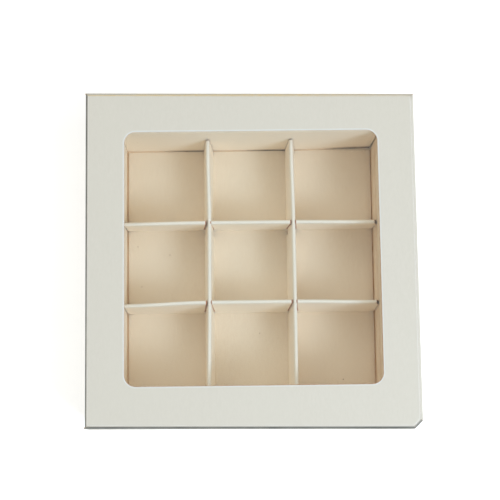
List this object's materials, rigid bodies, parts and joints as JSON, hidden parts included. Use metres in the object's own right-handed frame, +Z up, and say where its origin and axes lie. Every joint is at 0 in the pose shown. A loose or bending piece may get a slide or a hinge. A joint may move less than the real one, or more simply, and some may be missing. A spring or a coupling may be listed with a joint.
{
  "type": "partitioned storage box",
  "caption": "Shallow square white board box with a lift-off window lid, one clipped key corner, hollow frame walls and a loose grid of folded dividers.",
  "frame": {"origin": "centre of the underside of the closed box", "axes": "+Z up, +Y towards the back, +X to the right; the clipped key corner is at the front right (+X, -Y)"},
  "size_m": [0.134, 0.136, 0.0365],
  "materials": {
    "coated_board": "satin white clay coating",
    "bare_board": "matte uncoated cream board",
    "divider_board": "satin coated board, folded double",
    "window_film": "clear film",
    "film_glue": "dried adhesive"
  },
  "bodies": {
    "base": {"back_inner_flange": "bare_board", "back_inner_wall": "bare_board", "base_back_left_tab": "coated_board", "base_back_right_tab": "coated_board", "base_back_wall": "coated_board", "base_floor": "coated_board", "base_front_left_tab": "coated_board", "base_front_right_tab": "coated_board", "base_front_wall": "coated_board", "base_key_corner_wall": "coated_board", "base_left_wall": "coated_board", "base_right_wall": "coated_board", "cell_floor_card": "bare_board", "front_inner_flange": "bare_board", "front_inner_wall": "bare_board", "left_inner_flange": "bare_board", "left_inner_wall": "bare_board", "right_inner_flange": "bare_board", "right_inner_wall": "bare_board", "rim_back_ledge": "coated_board", "rim_front_ledge": "coated_board", "rim_left_ledge": "coated_board", "rim_right_ledge": "coated_board"},
    "lid": {"film_glue_line": "film_glue", "lid_back_left_tab": "coated_board", "lid_back_right_tab": "coated_board", "lid_back_skirt": "coated_board", "lid_front_left_tab": "coated_board", "lid_front_right_tab": "coated_board", "lid_front_skirt": "coated_board", "lid_key_corner_skirt": "coated_board", "lid_left_skirt": "coated_board", "lid_right_skirt": "coated_board", "lid_top_panel": "coated_board", "window_film": "window_film"},
    "partition_grid": {"back_cross_divider": "divider_board", "front_cross_divider": "divider_board", "left_long_divider": "divider_board", "right_long_divider": "divider_board"}
  },
  "joints": [
    {"name": "lid_lift", "type": "slide", "parent": "base", "child": "lid", "axis": [0, 0, 1], "range_m": [0, 0.07]},
    {"name": "grid_lift", "type": "slide", "parent": "base", "child": "partition_grid", "axis": [0, 0, 1], "range_m": [0, 0.011]}
  ]
}
